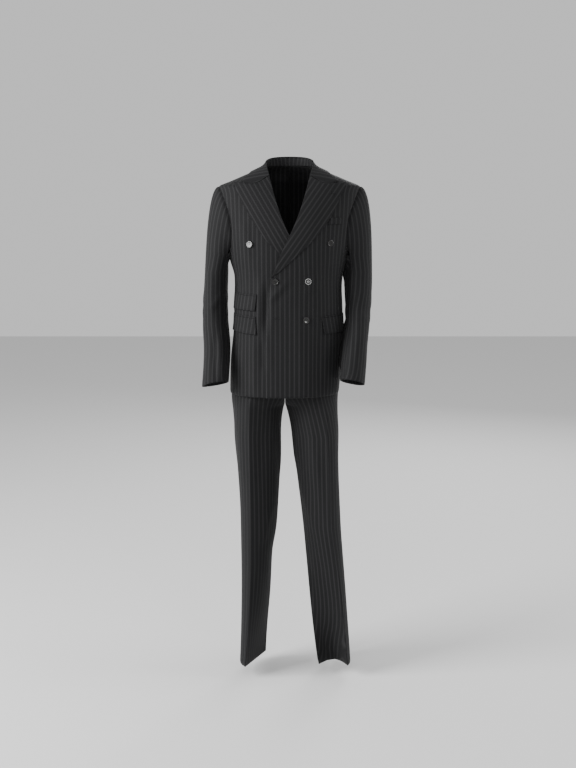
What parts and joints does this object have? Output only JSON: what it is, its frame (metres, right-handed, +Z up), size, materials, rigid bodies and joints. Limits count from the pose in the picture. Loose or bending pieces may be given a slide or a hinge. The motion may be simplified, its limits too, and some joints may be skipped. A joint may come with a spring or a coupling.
{
  "type": "double-breasted suit",
  "caption": "Double-breasted suit in charcoal pinstripe: jacket with peak lapels, flap pockets and ticket pocket, and plain trousers, as a hollow worn form.",
  "frame": {"origin": "where the wearer's neck passes out of the collar, level with the shoulder seams at the neck, on the jacket's middle line", "axes": "+Z up the wearer, +X to the wearer's left, -Y to the front, the side that the picture shows"},
  "size_m": [0.5533, 0.2851, 1.6923],
  "materials": {
    "worsted": "dark charcoal wool worsted twill with soft paler pinstripes",
    "button_horn": "dark grey polished horn-like, with a dished middle and four holes"
  },
  "bodies": {
    "root": {"jacket_front_left": "worsted", "jacket_front_right": "worsted", "jacket_side_left": "worsted", "jacket_side_right": "worsted", "jacket_back_left": "worsted", "jacket_back_right": "worsted", "lapel_left": "worsted", "lapel_right": "worsted", "collar_leaf": "worsted", "collar_stand": "worsted", "upper_sleeve_left": "worsted", "upper_sleeve_right": "worsted", "under_sleeve_left": "worsted", "under_sleeve_right": "worsted", "breast_welt": "worsted", "flap_hip_left": "worsted", "flap_hip_right": "worsted", "flap_ticket": "worsted", "jet_hip_left": "worsted", "jet_hip_right": "worsted", "jet_ticket": "worsted", "trouser_front_left": "worsted", "trouser_front_right": "worsted", "trouser_back_left": "worsted", "trouser_back_right": "worsted", "waistband": "worsted", "button_upper_left": "button_horn", "button_upper_right": "button_horn", "button_middle_left": "button_horn", "button_middle_right": "button_horn", "button_lower_left": "button_horn", "button_sleeve_left_1": "button_horn", "button_sleeve_left_2": "button_horn", "button_sleeve_left_3": "button_horn", "button_sleeve_left_4": "button_horn", "button_sleeve_right_1": "button_horn", "button_sleeve_right_2": "button_horn", "button_sleeve_right_3": "button_horn", "button_sleeve_right_4": "button_horn"}
  },
  "joints": []
}
